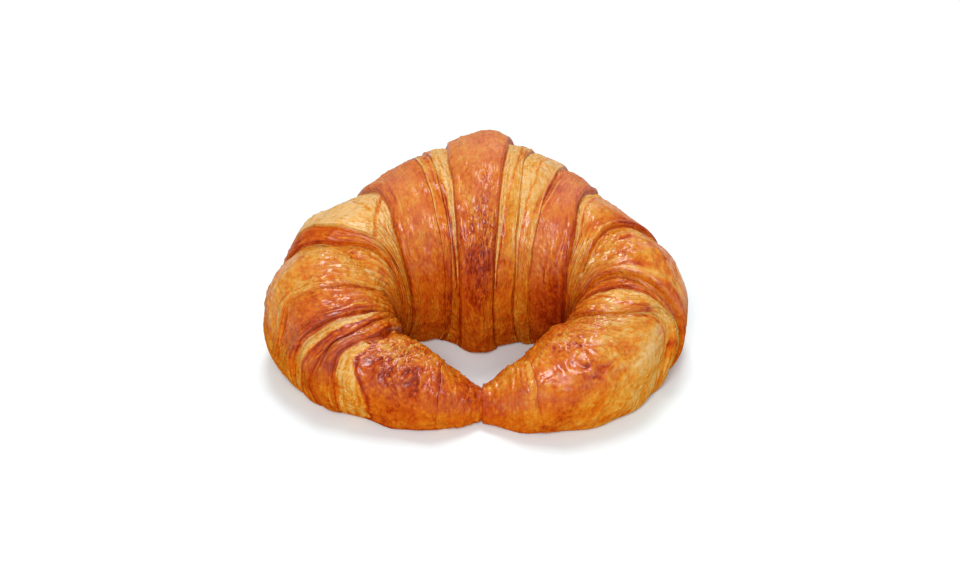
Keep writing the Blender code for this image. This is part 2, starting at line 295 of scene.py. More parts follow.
# Creases and folds that cross the wraps: their course as along and angle, half width, height, and tone
FOLDS = (
    (((-29.5, 8), (-31.5, 0), (-34, -7), (-38, -16), (-42, -25), (-45, -29)), 0.5, -0.4, 0.52),
    (((-31, 9), (-33, 0), (-35.6, -7), (-39.6, -16), (-43.4, -24)), 0.4, 0.4, 0.06),
    (((-91, 14), (-92.4, -12), (-91, -26), (-88.5, -36)), 0.9, -0.9, 0.85),
    (((-97, -14), (-96.5, -2), (-98, 8)), 0.5, 0.2, 0.5),
    (((96, 10), (97.5, 26), (97, 44), (99.5, 62)), 0.6, 0.3, 0.5),
    (((51.7, 0), (51.1, 6), (50.6, 13)), 0.6, -0.7, 0.95),
    (((53.4, -33), (54.6, -37)), 1.7, 1.6, 0.04),
    (((54.5, -47), (55.1, -49)), 1.1, 1.4, 0.14),
    (((58.7, -62), (59.3, -64)), 1.0, 1.4, 0.16),
    (((43.2, 7), (43.5, -4), (45.4, -15), (46.2, -24), (46.2, -32)), 0.4, 0.45, 0.14),
    (((-58.5, -21), (-55.8, -32), (-52.5, -43), (-50, -53), (-47.8, -63)), 0.4, 0.5, 0.1),
    (((-59.5, -36), (-57, -46), (-53.5, -58), (-51, -66)), 0.35, 0.4, 0.15),
    (((22.6, 13), (23.0, 2), (23.0, -8), (22.6, -18), (22.2, -28)), 0.9, -0.9, 0.62),
    (((24.0, 8), (24.4, -4), (24.5, -14), (24.2, -24)), 0.3, 0.4, 0.12),
    (((25.4, 4), (25.9, -8), (26.2, -20)), 0.5, -0.4, 0.56),
    (((-101.5, -40), (-101, -24), (-99.5, -8), (-100.5, 8)), 0.8, -0.5, 0.52),
    (((-103, -36), (-102.6, -22), (-101.6, -8), (-102, 6)), 0.7, 0.3, 0.15),
)

# Random patterns over the crust, from -1 to 1: the size of their lumps along the roll and both ways across
# it, and their seed
PATTERNS = {
    "strip ends": ((3.0, 2.2, 2.2), 3),
    "patch ends": ((2.4, 2.4, 2.4), 11),
    "blistering": ((8, 8, 8), 41),
    "strands": ((0.9, 7, 7), 31),
    "broad strands": ((1.7, 18, 18), 33),
    "grit": ((0.8, 1.3, 1.3), 32),
    "folds": ((2.4, 3.4, 3.4), 5),
    "puckers": ((1.3, 1.7, 1.7), 7),
    "cracks": ((1.9, 2.6, 2.6), 15),
    "pleats": ((6, 9, 9), 53),
    "wrinkles": ((1.5, 4.5, 4.5), 42),
    "fine wrinkles": ((1.1, 1.6, 1.6), 45),
    "lumps": ((3.2, 4.5, 4.5), 43),
    "broad lumps": ((7.5, 7.5, 7.5), 44),
    "tip pleats": ((4, 3, 3), 51),
}

# And those that say where something shows: as above, and from where it starts to where it shows fully
PLACES = {
    "torn lips": ((4, 5, 5), 27, -0.35, 0.25),
    "bubbles": ((6, 6, 6), 47, -0.3, 0.3),
    "wrinkles": ((5, 5, 5), 46, -0.6, 0.4),
    "tip pleats": ((3, 2.5, 2.5), 52, -0.4, 0.3),
}
SWIRL_SIZE, SWIRL_SEED = 2.5, 61  # the pattern by which others are shifted about

# Tones of the wraps
MIDDLE_WRAP = 8  # half the width of the wrap in the middle of the belly
STRIP_SHARE, STRIP_VARIES = 0.95, 0.16  # of a pale strip's width
NARROWEST, THINNEST_STRIP, NO_LAYERS = 0.1, 0.15, 0.05  # the least widths of a wrap, strip and layers
LEAST_REACH = 0.01  # of cut layers, where there are none
DEEPEST = 3.0  # how deep inside a strip, or outside it, is still told apart
LAYERS_FADE = (0.6, 1.1)  # where cut layers end, as shares of how far back they show
PATCH_VARIES, PATCH_EDGE = 0.5, 1.5  # how ragged a patch is, and how sharply it ends
FOLD_COVERS, FOLD_SKIN = 0.85, 6  # how much of a fold's own tone shows, and how far it keeps the crumb away
RIM_AT, RIM_REACH, RIM_TONE, NO_RIM = 0.75, 0.4, 0.30, -2.9  # the dark rim beside a pale strip
LIP_REACH, LIP_TONE, TORN_LIP_TONE = 0.45, 0.08, 0.55  # a lip is darker, and paler where layers are torn
TORN_FROM, TORN_LEAST = (-95, -50), 0.4  # low on the inner side the lips are less torn
FACE_SHADE = 0.10  # the face of a drop is darker, a painted shade under the lip
GLAZED_UP = (0.0, 0.9)  # how far up the round of the roll the glaze starts and is full
CRUMB_STARTS = (-0.4, 0.4)  # how deep inside a strip the crumb starts and is full
BLISTERS_MEAN, BLISTERS_VARY, BLISTERS_MOST = 0.35, 0.35, 1.3  # how puckered the glaze is

# The cut layers of the dough: how far apart, how high and their seed; then how their lines sway, from two
# patterns, and where they show
LAYERS = ((2.2, 0.36, 21), (1.15, 0.22, 24))
LAYER_SWAY = ((0.6, (5, 18, 18)), (0.15, (2.5, 5, 5)))
LAYER_PLACES = (1.6, 8, 8)
LAYERS_SHOW = (-0.3, 0.2)
LAYER_ENDS, LAYER_MEAN = (1.0, 0.86), 0.2  # each rises up to its end, and drops
LAYER_DARK, DARK_ENDS = 0.5, (0.75, 0.95)  # its dark edge
LAYER_PALE, PALE_ENDS = 0.4, (0.4, 0.1)  # and its paler face

# The torn crumb: heights and changes of tone
STRAND_HEIGHT, GRIT_HEIGHT, PIT_DEPTH = 0.4, 0.18, 0.3
STRAND_TONE, GRIT_TONE, PIT_TONE = 0.24, 0.08, 0.12
BROAD_STRANDS, STRAND_ENDS = 0.5, (0.3, 0.0)
PIT_SIZE, PIT_SEED, PIT_ENDS = (0.9, 1.5, 1.5), 8, (0.42, 0.2)
CRUMB_TONE, LOW_CRUMB_TONE, LOW_CRUMB = 0.06, 0.24, (45, 95)  # it is browner low on the outer side
BELLY_END, BELLY_CRUMB_TONE = 26, 0.03  # and paler on the belly

# The glaze: its folds and puckers, the cracks where they are many, its bubbles and wrinkles. The ridges of
# the puckers and the bubbles are painted paler as a highlight, and the valleys and cracks darker as shade
SKIN_ON_LAYERS = 0.7  # how much of it the cut layers take away
WARP, BUBBLE_WARP = 1.3, 0.5  # how far the patterns of the puckers and of the bubbles are shifted
FOLD_SHARP, FOLD_HEIGHT, PUCKER_HEIGHT, PUCKER_MEAN = 1.6, 0.6, 0.3, 0.4
PUCKER_SHADING, PUCKER_SHADING_MEAN = 0.32, 0.5
CRACKED, CRACK_ENDS, CRACK_DEPTH, CRACK_SHADE = (0.6, 1.0), (0.17, 0.0), 0.35, 0.26
BUBBLE_SIZE, BUBBLE_SEED, BUBBLE_ENDS = (1.3, 1.6, 1.6), 6, (0.5, 0.15)
BUBBLE_HEIGHT, BUBBLE_HIGHLIGHT = 0.26, 0.12
FINE_WRINKLES, WRINKLE_ENDS, WRINKLE_DEPTH = 0.7, (0.24, 0.0), 0.35
LUMP_HEIGHT, BROAD_LUMP_HEIGHT = 0.30, 0.34

# The pleats of the inner bends and of the tips
BEND_STARTS, BEND_ENDS, PLEATED_ANGLE, PLEATED_ROUND = (30, 42), (94, 84), -55, 42
PLEAT_PITCH, PLEAT_SWAY, PLEAT_HEIGHT, PLEAT_TONE = 3.3, 0.7, 0.4, 0.08
TIP_STARTS, TIP_PITCH, TIP_SWAY, TIP_HEIGHT = (108, 116), 2.3, 3.2, 0.34

FINE_LEVEL = 0.15  # what the fine relief adds on average, which it is set in by
SEAM_REACH = 1.2  # near the seam it fades
BASE_FINE, BASE_FINE_ENDS = 0.25, (-0.75, -0.2)  # share of it on the base, and where that ends
FACE_FINE = 0.25  # share of it on the face of a drop

# What is painted on the points for the material to read
PAINTED = ("roll", "tone", "pale", "bare", "layers", "glaze", "puckered", "painted_sheen")

# Tone, and the colour of the dough at it
TONES = (
    (0.00, (0.740, 0.455, 0.190)),
    (0.15, (0.710, 0.370, 0.085)),
    (0.30, (0.670, 0.265, 0.028)),
    (0.45, (0.640, 0.175, 0.010)),
    (0.60, (0.570, 0.108, 0.005)),
    (0.75, (0.470, 0.060, 0.004)),
    (0.90, (0.350, 0.030, 0.003)),
    (1.00, (0.210, 0.016, 0.002)),
)
SHEEN_COLOUR, SHEEN_SHARE = (0.72, 0.40, 0.36), 0.2  # a painted pinkish sheen where the glaze is dull

# Random patterns in the material, from about -0.5 to 0.5: lumps to the millimetre, how many finer ones they
# hold, how strong those are, and how the pattern is squeezed, where less than 1 draws it out
GRAINS = {
    "broad": (0.22, 3.0, 0.6),
    "swells": (0.42, 1.0, 0.5),
    "small": (0.7, 1.0, 0.6),
    "grain": (1.25, 1.0, 0.6),
    "streaks": (0.9, 1.5, 0.6, (1.0, 0.16, 0.16)),
    "creases": (0.75, 1.0, 0.5, (1.2, 0.8, 0.8)),
    "cuts": (0.7, 2.0, 0.5, (1.0, 0.15, 0.15)),
    "domes": (0.13, 2.0, 0.5),
    "flecks": (1.1, 3.0, 0.6, (1.0, 0.55, 0.55)),
    "spots": (0.62, 3.0, 0.65, (1.0, 0.6, 0.6)),
    "wet": (0.3, 2.0, 0.6),
}

# Those that say where something shows, from where it starts to where it shows fully
MASKS = {
    "cuts": (-0.16, 0.06),
    "domes": (-0.12, 0.1),
    "flecks": (0.10, 0.2),
    "spots": (0.09, 0.22),
    "wet": (-0.2, 0.12),
}

# How much the patterns add: to the tone of the skin and of the crumb, to the line where the crumb ends and,
# in millimetres, to the relief. Flecks of gold are paler, and spots have baked darker.
SKIN_MOTTLE = (("small", 0.4), ("streaks", 0.3), ("flecks", -0.16), ("spots", 0.14))
CRUMB_MOTTLE = (("grain", 0.6), ("streaks", 0.8), ("spots", 0.1))
CRUMB_LINE = (("streaks", 1.5), ("small", 1.0))
SKIN_RELIEF = (("swells", 1.5), ("small", 0.55), ("streaks", 0.3))
# the domes' paler tone is a painted highlight, and the creases' darker tone a painted shade
BROAD_TONE, DOME_HIGHLIGHT, CREASE_SHADE, DARKEST = 0.6, -0.12, 1.2, 0.95
CREASE_HEIGHT, DOME_HEIGHT, GRIT_RELIEF, CRUMB_HEIGHT = -3.0, 0.22, 0.6, -0.15
LEAST_LIVELY, LIVELY_GLAZE = 0.35, 0.7  # how mottled the skin is without glaze, and what glaze adds
CRUMB_ENDS = (-0.3, 0.35)
DOME_SCALE, DOME_ENDS = 0.62, (0.1, 0.5)

# The edges of cut layers in the material: for each set how far apart they are and the scale of their sway
CUTS = ((1.9, 0.3), (0.95, 0.5))
CUT_SWAY, CUT_SWAYS = (3.0, 0.6, (1.0, 0.2, 0.2)), 2.6
CUT_EDGE, CUT_FACE, CUT_RISE, CUT_TONE = (0.66, 0.97), (0.0, 0.4), 0.26, 0.1
FINE_CUTS, LEAST_CUT = 0.5, 0.25  # the strength of the fine set, and of both away from the lips

# Roughness of the skin, how much rougher the crumb is and how much both vary; then the share of the glaze's
# shine that is left on the crumb, and where the glaze has dried
SKIN_ROUGH, CRUMB_ROUGHER, ROUGH_VARIES = 0.42, 0.22, 0.4
CRUMB_COAT, DRY_COAT = 0.3, 0.5
COAT_ROUGHNESS, COAT_IOR, BUMP_STRENGTH = 0.24, 1.6, 0.7

FLOOR_SIZE, FLOOR_ROUGHNESS = 6, 0.9
FLOOR_COLOUR = (0.855, 0.95, 0.975, 1)  # a little blue, against the warm light that the crust throws on it

# The lights, in metres and watts: name, direction from the croissant, size and power
LIGHTS = (
    ("overhead", (0.0, 0.3, 1.0), 0.37, 5.7),
    ("window", (0.25, 0.95, 0.60), 0.5, 1.4),
    ("front", (-0.15, -0.70, 0.85), 0.26, 4.2),
    ("fill", (0.1, -0.95, 0.6), 0.5, 3.5),
)
LIGHT_DISTANCE = 1.1
LIT_PLACE = Vector((0, 0, 0.02))
SKY_STRENGTH = 0.38

LENS, SENSOR = 85, 36
DISTANCE = 0.722  # from the camera to what it is aimed at
ELEVATION = 40  # degrees
AIM = Vector((0.0018, -0.00033, 0.020))
AIM_FALLS_AT = (482, 285)  # in a picture of 960 by 571
WIDTH, HEIGHT = 960, 571
CLIP_START = 0.05
TORUS_RADIUS = 2  # of the torus that a sleeve starts as, whose tube has a radius of 1


def turned_off(angle, middle):
    """How far round the roll each angle is from another, from -180 to 180 degrees."""
    return (angle - middle + 180) % 360 - 180


def step(low, high, value):
    """0 at the first figure and 1 at the second, with a soft change between them."""
    share = np.clip((value - low) / (high - low), 0, 1)
    return share * share * (3 - 2 * share)


def bell(value, reach):
    """1 where the value is 0, and soft down to 0 past its reach."""
    return np.exp(-((value / reach) ** 2))


def through(places, values, at, period):
    """A smooth closed curve through the values, read at other places."""
    places = np.concatenate([np.subtract(places, period), places, np.add(places, period)])
    values = np.tile(values, 3)
    slopes = np.zeros(len(values))
    slopes[1:-1] = (values[2:] - values[:-2]) / (places[2:] - places[:-2])
    at = (np.asarray(at) + period / 2) % period - period / 2
    left = np.clip(np.searchsorted(places, at, side="right") - 1, 0, len(places) - 2)
    gap = places[left + 1] - places[left]
    share = (at - places[left]) / gap
    squared, cubed = share**2, share**3
    return (
        (2 * cubed - 3 * squared + 1) * values[left]
        + (cubed - 2 * squared + share) * gap * slopes[left]
        + (3 * squared - 2 * cubed) * values[left + 1]
        + (cubed - squared) * gap * slopes[left + 1]
    )


def round_the_roll(values, angle):
    """A figure given at the five places round the roll, at each angle."""
    return through((*ROUND_ANGLES, 180), (*values, (values[0] + values[-1]) / 2), angle, 360)


def roll_at(along):
    """Centre x and y, half width and height of the roll."""
    table = np.array(ROLL_STATIONS, float)
    return [through(table[:, 0], table[:, k], along, 2 * HALF_ROLL) for k in (1, 2, 3, 4)]


def on_tray(z):
    """Heights with the base pressed flat at zero."""
    blended = (z + FLOOR_BLEND) ** 2 / (4 * FLOOR_BLEND)
    return np.where(z > FLOOR_BLEND, z, np.where(z < -FLOOR_BLEND, 0.0, blended))


def surface(along, angle, rise):
    """Points of the crust, at angles that are 0 on top and 90 degrees on the outer side.

    The rise is how far they stand out of the plain roll.
    """
    x, y, half_width, height = roll_at(along)
    turn = math.pi * along / HALF_ROLL
    facing = turn - TURN_SWAY * np.sin(2 * turn)
    half_height = height / (2 - 2 * FLOOR_CUT)
    out = (half_width + rise) * np.sin(np.radians(angle))
    up = height - half_height + (half_height + rise) * np.cos(np.radians(angle))
    x, y = x + np.sin(facing) * out - MIDDLE[0], y + np.cos(facing) * out - MIDDLE[1]
    return np.stack([x, y, on_tray(up)], axis=-1)


def wander(angle, seed):
    """An uneven line round the roll, between about -1 and 1."""
    turned = np.radians(angle)
    return sum(share * np.sin(waves * turned + turn * seed) for waves, share, turn in WANDER_WAVES)


def edge_line(positions, angle, seed):
    """An edge's distance from the middle of the belly, at each angle."""
    return round_the_roll(positions, angle) + EDGE_WANDER * wander(angle, seed)


def edge_drop(drop, angle, seed):
    """How far the surface drops at an edge. It fades on the flat base and is uneven elsewhere."""
    share_up = (1 + np.cos(np.radians(angle))) / 2
    fade = BASE_DROP + (1 - BASE_DROP) * np.clip(DROP_DEEPENS * share_up - DROP_STARTS, 0, 1)
    return drop * fade * (1 + DROP_WANDER * wander(angle, seed + DROP_SEED))


def side_lines(wraps, tip, angle):
    """Lines of points round the roll, from the belly's middle out to a tip.

    A row for each line: how far along, how far out, past the last drop, short of the next lip, down the
    drop's face, and which wrap it is on.
    """
    lines = []
    none = np.zeros_like(angle)
    start, level = none, None
    under = np.clip(-np.cos(np.radians(angle)) / BASE_BLEND, 0, 1)
    for number, (positions, height, drop, swell) in enumerate((*wraps, (None, tip, 0, TIP_SWELL))):
        last = positions is None
        seed = number + len(wraps)
        end = np.full_like(angle, HALF_ROLL) if last else edge_line(positions, angle, seed)
        fall = none if last else edge_drop(drop, angle, seed)
        top = np.full_like(angle, height)
        width = end - LIP_ROUND * fall - start
        count = max(FEWEST_LINES, round(float(np.median(width)) / SKIN_STEP) + 1)
        for share in np.arange(count - last) / (count - 1):
            if level is None:
                out = BELLY_RISE + (top - BELLY_RISE) * share**2
            else:
                out = level + (top - level) * share**QUICK_RISE + swell * math.sin(math.pi * share)
            past = np.full_like(angle, NO_DROP) if level is None else width * share
            short = width * (1 - share) + LIP_ROUND * fall
            lines.append((start + width * share, out, past, short, none, number + none))
        if last:
            break
        foot = end + LIP_FOOT * fall + BASE_FOOT * under
        for place, (past_lip, below) in enumerate(LIP_PROFILE, 1):
            # The base has no undercut: there the points of the lip lie evenly up to its foot
            evenly = under * place / (len(LIP_PROFILE) + 1) * (foot - end)
            reach = (1 - under) * past_lip * fall + evenly
            lines.append((end + reach, top - below * fall, width, none, below + none, number + none))
        start, level = foot, top - fall
    tip_row = (np.full_like(angle, HALF_ROLL), np.full_like(angle, tip), width, none, none, number + none)
    return [*lines, tip_row]


def piece_lines(angle, first, last):
    """The lines of these wraps, from left to right, and the next one where a lip ends the piece."""
    left = side_lines(LEFT_WRAPS, LEFT_TIP, angle)
    right = side_lines(RIGHT_WRAPS, RIGHT_TIP, angle)
    lines = [(-along, *others, -1 - wrap) for along, *others, wrap in reversed(left[1:])] + right
    wraps = [line[-1][0] for line in lines]
    start, end = wraps.index(first), len(wraps) - 1 - wraps[::-1].index(last)
    start -= first < 0 and start > 0
    end += last >= 0 and end < len(lines) - 1
    return np.moveaxis(np.array(lines[start : end + 1]), 1, 0)


def swellings(along, angle):
    """The sum of the soft swellings and hollows, and of the uneven puffing."""
    turned, way = np.radians(angle), along / HALF_ROLL * math.pi
    total = PILLOW * sum(share * np.sin(a * way + b * turned + start) for share, a, b, start in PUFFS)
    for place, middle, reach, reach_round, height in SWELLINGS:
        off = (along - place + HALF_ROLL) % (2 * HALF_ROLL) - HALF_ROLL
        total += height * np.exp(-((off / reach) ** 2) - (turned_off(angle, middle) / reach_round) ** 2)
    return total


def crowded(along, angle):
    """1 in the two inner bends, where the wraps are pressed together, and 0 away from them."""
    off = np.minimum(1, np.abs(np.abs(along) - BEND_AT) / BEND_REACH)
    round_off = np.minimum(1, np.abs(turned_off(angle, BEND_ANGLE)) / BEND_REACH_ROUND)
    return (1 - off**2) ** 2 * (1 - round_off**2) ** 2


# How random whole numbers are made: factors for the axes of a cell, for seeds and for the rest, and bit masks
CELL_FACTORS = np.array((73856093, 19349663, 83492791))
NOISE_SEEDS, CELL_SEEDS, CELL_AXES, SCRAMBLER = 26544357, 104729, 7919, 12741261
BITS_31, BITS_16 = 0x7FFFFFFF, 0xFFFF

# Turns the grid under a random pattern, so that its lumps don't line up with the roll
ASKEW = np.array(((0.74, 0.54, -0.40), (-0.31, 0.80, 0.52), (0.60, -0.26, 0.76)))


def numbered(cell):
    """A whole number for each cell of a grid."""
    return np.bitwise_xor.reduce(cell * CELL_FACTORS, axis=-1)


def scrambled(number, shift):
    """Whole numbers turned into others below 65536 that look random."""
    mixed = (number * SCRAMBLER) & BITS_31
    return (mixed ^ (mixed >> shift)) & BITS_16


def noise(place, seed=0):
    """Smooth random values from -1 to 1, with lumps about 1 apart."""
    place = place @ ASKEW
    cell = np.floor(place).astype(np.int64)
    part = place - cell
    part = part * part * (3 - 2 * part)
    total = 0
    for corner in itertools.product((0, 1), repeat=3):
        number = numbered(cell + corner) ^ (seed * NOISE_SEEDS)
        value = scrambled(number ^ (number >> 13), 15) / (BITS_16 / 2) - 1
        total += value * np.prod(np.where(corner, part, 1 - part), axis=-1)
    return total


def to_nearest(place, seed):
    """How near the closest of many scattered points is, for points about 1 apart."""
    cell = np.floor(place).astype(np.int64)
    nearest = np.full(place.shape[:-1], np.inf)
    for corner in itertools.product((-1, 0, 1), repeat=3):
        at = cell + corner
        number = numbered(at) + CELL_SEEDS * seed
        away = 0
        for axis in range(3):
            spot = at[..., axis] + scrambled(number + CELL_AXES * axis, 14) / (BITS_16 + 1)
            away += (place[..., axis] - spot) ** 2
        nearest = np.minimum(nearest, away)
    return np.sqrt(nearest)


def off_course(course, along, angle, radius):
    """How far, in millimetres, each place is from a line that runs through these places."""
    x, y = along, np.radians(angle) * radius
    nearest = np.full(along.shape, np.inf)
    for (ax, a_angle), (bx, b_angle) in itertools.pairwise(course):
        ay, by = np.radians(a_angle) * radius, np.radians(b_angle) * radius
        length = (bx - ax) ** 2 + (by - ay) ** 2
        share = np.clip(((x - ax) * (bx - ax) + (y - ay) * (by - ay)) / length, 0, 1)
        off = np.hypot(x - ax - share * (bx - ax), y - ay - share * (by - ay))
        nearest = np.minimum(nearest, off)
    return nearest


class Crust:
    """The points of one piece of the crust, and what is painted on them."""

    def __init__(self, first, last, rows_seen, rows_under):
        seen = SEEN_FROM + (SEEN_TO - SEEN_FROM) * np.arange(rows_seen) / rows_seen
        under = SEEN_TO + (360 + SEEN_FROM - SEEN_TO) * np.arange(rows_under) / rows_under
        angle = np.concatenate([seen, under])
        self.along, self.rise, self.past, self.short, self.face, self.wrap = piece_lines(angle, first, last)
        self.angle = np.broadcast_to(angle, self.along.shape)
        self.upwards = np.cos(np.radians(self.angle))
        self.radius = roll_at(self.along)[2]
        self.roll = self.laid_out()
        self.folds = [self.near_course(course, half) for course, half, _, _ in FOLDS]
        self.bake()
        self.emboss()
        self.points = surface(self.along, self.angle, self.rise)
        self.close(first, last)

    def laid_out(self):
        """The roll laid out straight, with every lip square to it, so that patterns follow the wraps."""
        turned = np.radians(self.angle)
        climb = np.abs(np.diff(self.rise.mean(axis=1), prepend=self.rise[0].mean()))
        straight = (self.along.mean(axis=1) + np.cumsum(climb))[:, None]
        straight = np.broadcast_to(straight, self.along.shape)
        return np.stack([straight, self.radius * np.sin(turned), self.radius * self.upwards], axis=-1)

    def away_from(self, place, turned, reach, reach_round):
        """How far each point is from the middle of a patch, squared, where 1 is its reach."""
        off = (self.along - place) / reach
        round_off = turned_off(self.angle, turned) / reach_round
        return off**2 + round_off**2

    def near_course(self, course, half):
        """1 along the line of a fold, and 0 away from it."""
        return bell(off_course(course, self.along, self.angle, self.radius), half)

    def pattern(self, name, place=None):
        """A random pattern over the roll laid out straight, or over other places."""
        size, seed = PATTERNS[name]
        return noise((self.roll if place is None else place) / size, seed)

    def places(self, name):
        """Where something shows, from 0 to 1."""
        size, seed, low, high = PLACES[name]
        return step(low, high, noise(self.roll / size, seed))

    def bake(self):
        """The tones of the skin and of the crumb, where each shows, and the glaze."""
        self.bake_wraps()
        self.bake_patches()
        self.brown_edges()
        self.brush_glaze()

    def bake_wraps(self):
        """Each wrap's tones, how deep inside its pale strip a point is, and its share of cut layers."""
        angle = self.angle[0]
        self.tone, self.pale, self.layered = (np.zeros_like(self.along) for _ in range(3))
        self.bare = np.full_like(self.along, -DEEPEST)
        ragged = STRIP_SHARE + STRIP_VARIES * self.pattern("strip ends")
        across = np.clip(self.past / np.maximum(self.past + self.short, NARROWEST), 0, 1)
        across = np.where(self.past == NO_DROP, np.abs(self.along) / MIDDLE_WRAP, across)
        for side, table in ((-1, LEFT_BAKE), (1, RIGHT_BAKE)):
            for number, (after, at_lip, strip, strip_tone, layers) in enumerate(table):
                on = self.wrap == (number if side > 0 else -1 - number)
                skin = round_the_roll(after, angle) * (1 - across) + round_the_roll(at_lip, angle) * across
                width = round_the_roll(strip, angle) * ragged
                deep = np.where(width > THINNEST_STRIP, width - self.past, -DEEPEST)
                self.tone = np.where(on, skin, self.tone)
                self.pale = np.where(on, strip_tone, self.pale)
                self.bare = np.where(on, np.clip(deep, -DEEPEST, DEEPEST), self.bare)
                layers = np.broadcast_to(layers, len(ROUND_ANGLES))
                reach = np.maximum(round_the_roll(layers, angle), LEAST_REACH)
                shown = (reach > NO_LAYERS) * (1 - step(*LAYERS_FADE, self.short / reach))
                self.layered = np.where(on, shown, self.layered)

    def bake_patches(self):
        """Patches of other tone, and the folds, where the crumb doesn't show."""
        ragged = PATCH_VARIES * self.pattern("patch ends")
        for *patch, change in PATCHES:
            off = np.maximum(self.away_from(*patch) + ragged, 0)
            self.tone += change * np.exp(-(off**PATCH_EDGE))
        for near, (_, _, _, fold_tone) in zip(self.folds, FOLDS):
            self.tone += (fold_tone - self.tone) * near * FOLD_COVERS
            self.bare -= FOLD_SKIN * near

    def brown_edges(self):
        """The rims of the pale strips, the lips, and painted shade on the faces of the drops.

        Cut layers make a lip paler.
        """
        rim = bell(self.bare + RIM_AT, RIM_REACH) * (self.bare > NO_RIM)
        at_lip = bell(self.short, LIP_REACH) * (self.face == 0)
        torn = TORN_LEAST + (1 - TORN_LEAST) * step(*TORN_FROM, self.angle)
        torn = self.places("torn lips") * torn
        lips = at_lip * (LIP_TONE - TORN_LIP_TONE * self.layered * torn)
        self.tone += RIM_TONE * rim + lips + FACE_SHADE * (self.face > 0)

    def brush_glaze(self):
        """The share of glaze, where it has blistered, and the painted sheen where it is dull."""
        self.glaze = step(*GLAZED_UP, self.upwards)
        self.crumb = step(*CRUMB_STARTS, self.bare)
        blistered = BLISTERS_MEAN + BLISTERS_VARY * self.pattern("blistering")
        for *patch, more in BLISTERED:
            blistered += more * np.exp(-self.away_from(*patch))
        self.blistered = np.clip(blistered, 0, BLISTERS_MOST)
        self.painted_sheen = np.zeros_like(self.tone)
        for *patch, share, painted_sheen in DULL_GLAZE_AND_SHEEN:
            here = np.exp(-self.away_from(*patch))
            self.glaze *= 1 - share * here
            self.painted_sheen = np.maximum(self.painted_sheen, painted_sheen * here)

    def emboss(self):
        """The fine relief, over the wraps, and the tones that go with it."""
        self.fine = -FINE_LEVEL
        self.cut_layers()
        self.tear_crumb()
        glazed = (1 - self.crumb) * (1 - SKIN_ON_LAYERS * self.layered)
        swirl = [noise(self.roll / SWIRL_SIZE, SWIRL_SEED + axis) for axis in range(3)]
        swirl = np.stack(swirl, axis=-1)
        self.pucker(glazed, self.roll + WARP * swirl)
        self.pleat_bends()
        self.raise_bubbles(glazed, self.roll + BUBBLE_WARP * swirl)
        self.wrinkle(glazed)
        self.pleat_tips()
        for near, (_, _, height, _) in zip(self.folds, FOLDS):
            self.fine += height * near
        self.fine *= 1 - bell(np.abs(self.along) - HALF_ROLL, SEAM_REACH)
        calm = 1 - CROWDING * crowded(self.along, self.angle)
        upper = BASE_FINE + (1 - BASE_FINE) * step(*BASE_FINE_ENDS, self.upwards)
        on_skin = np.where(self.face > 0, FACE_FINE, 1)
        swollen = self.rise + swellings(self.along, self.angle)
        self.rise = swollen * calm + self.fine * calm * upper * on_skin

    def cut_layers(self):
        """Lines along the lips, each rising to a dark edge above a paler face, which break up and join."""
        for pitch, height, seed in LAYERS:
            sway = sum(
                share * noise(self.roll / size, seed + more) for more, (share, size) in enumerate(LAYER_SWAY)
            )
            saw = (np.abs(self.roll[..., 0]) / pitch + sway) % 1
            shown = noise(self.roll / LAYER_PLACES, seed + len(LAYER_SWAY))
            shown = self.layered * step(*LAYERS_SHOW, shown)
            shade = LAYER_DARK * step(*DARK_ENDS, saw) - LAYER_PALE * step(*PALE_ENDS, saw)
            self.fine += height * shown * (saw * step(*LAYER_ENDS, saw) - LAYER_MEAN)
            self.tone += height * shown * shade

    def tear_crumb(self):
        """The crumb is torn into strands along the strip, with pits between them."""
        strand = np.abs(self.pattern("strands")) + BROAD_STRANDS * np.abs(self.pattern("broad strands"))
        grit = self.pattern("grit")
        pit = step(*PIT_ENDS, to_nearest(self.roll / PIT_SIZE, PIT_SEED))
        torn = STRAND_HEIGHT * strand + GRIT_HEIGHT * grit - PIT_DEPTH * pit
        self.fine += self.crumb * torn
        self.pale += PIT_TONE * pit + STRAND_TONE * step(*STRAND_ENDS, strand) - CRUMB_TONE
        self.pale += GRIT_TONE * grit + LOW_CRUMB_TONE * step(*LOW_CRUMB, self.angle)
        self.pale -= BELLY_CRUMB_TONE * (np.abs(self.along) < BELLY_END)

    def pucker(self, glazed, warped):
        """Sharp little folds in the glaze. Where they are many, it has cracked as well."""
        fold = 1 - FOLD_SHARP * np.abs(self.pattern("folds", warped))
        small = 1 - FOLD_SHARP * np.abs(self.pattern("puckers", warped))
        puckers = FOLD_HEIGHT * fold + PUCKER_HEIGHT * small
        self.fine += glazed * self.blistered * (puckers - PUCKER_MEAN)
        # The ridges are painted paler as a highlight, and the valleys darker as shade
        self.tone += glazed * self.blistered * PUCKER_SHADING * (PUCKER_SHADING_MEAN - puckers)
        cracked = glazed * step(*CRACKED, self.blistered)
        vein = step(*CRACK_ENDS, np.abs(self.pattern("cracks", warped)))
        self.fine -= CRACK_DEPTH * cracked * vein
        # The cracks are painted darker as shade
        self.tone += CRACK_SHADE * cracked * vein

    def pleat_bends(self):
        """The inner bends are gathered into pleats along the lips."""
        out = np.abs(self.along)
        gathered = step(*BEND_STARTS, out) * step(*BEND_ENDS, out)
        gathered = gathered * bell(self.angle - PLEATED_ANGLE, PLEATED_ROUND)
        sway = PLEAT_SWAY * self.pattern("pleats")
        pleat = np.sin(2 * math.pi * (self.roll[..., 0] / PLEAT_PITCH + sway))
        self.fine += (1 - self.crumb) * gathered * PLEAT_HEIGHT * pleat
        self.tone -= (1 - self.crumb) * gathered * PLEAT_TONE * pleat

    def raise_bubbles(self, glazed, warped):
        """Little blisters in the glaze, close together in some places."""
        bubble = step(*BUBBLE_ENDS, to_nearest(warped / BUBBLE_SIZE, BUBBLE_SEED)) * self.places("bubbles")
        self.fine += glazed * BUBBLE_HEIGHT * bubble
        # The tops of the blisters are painted paler, a painted highlight
        self.tone -= glazed * BUBBLE_HIGHLIGHT * bubble

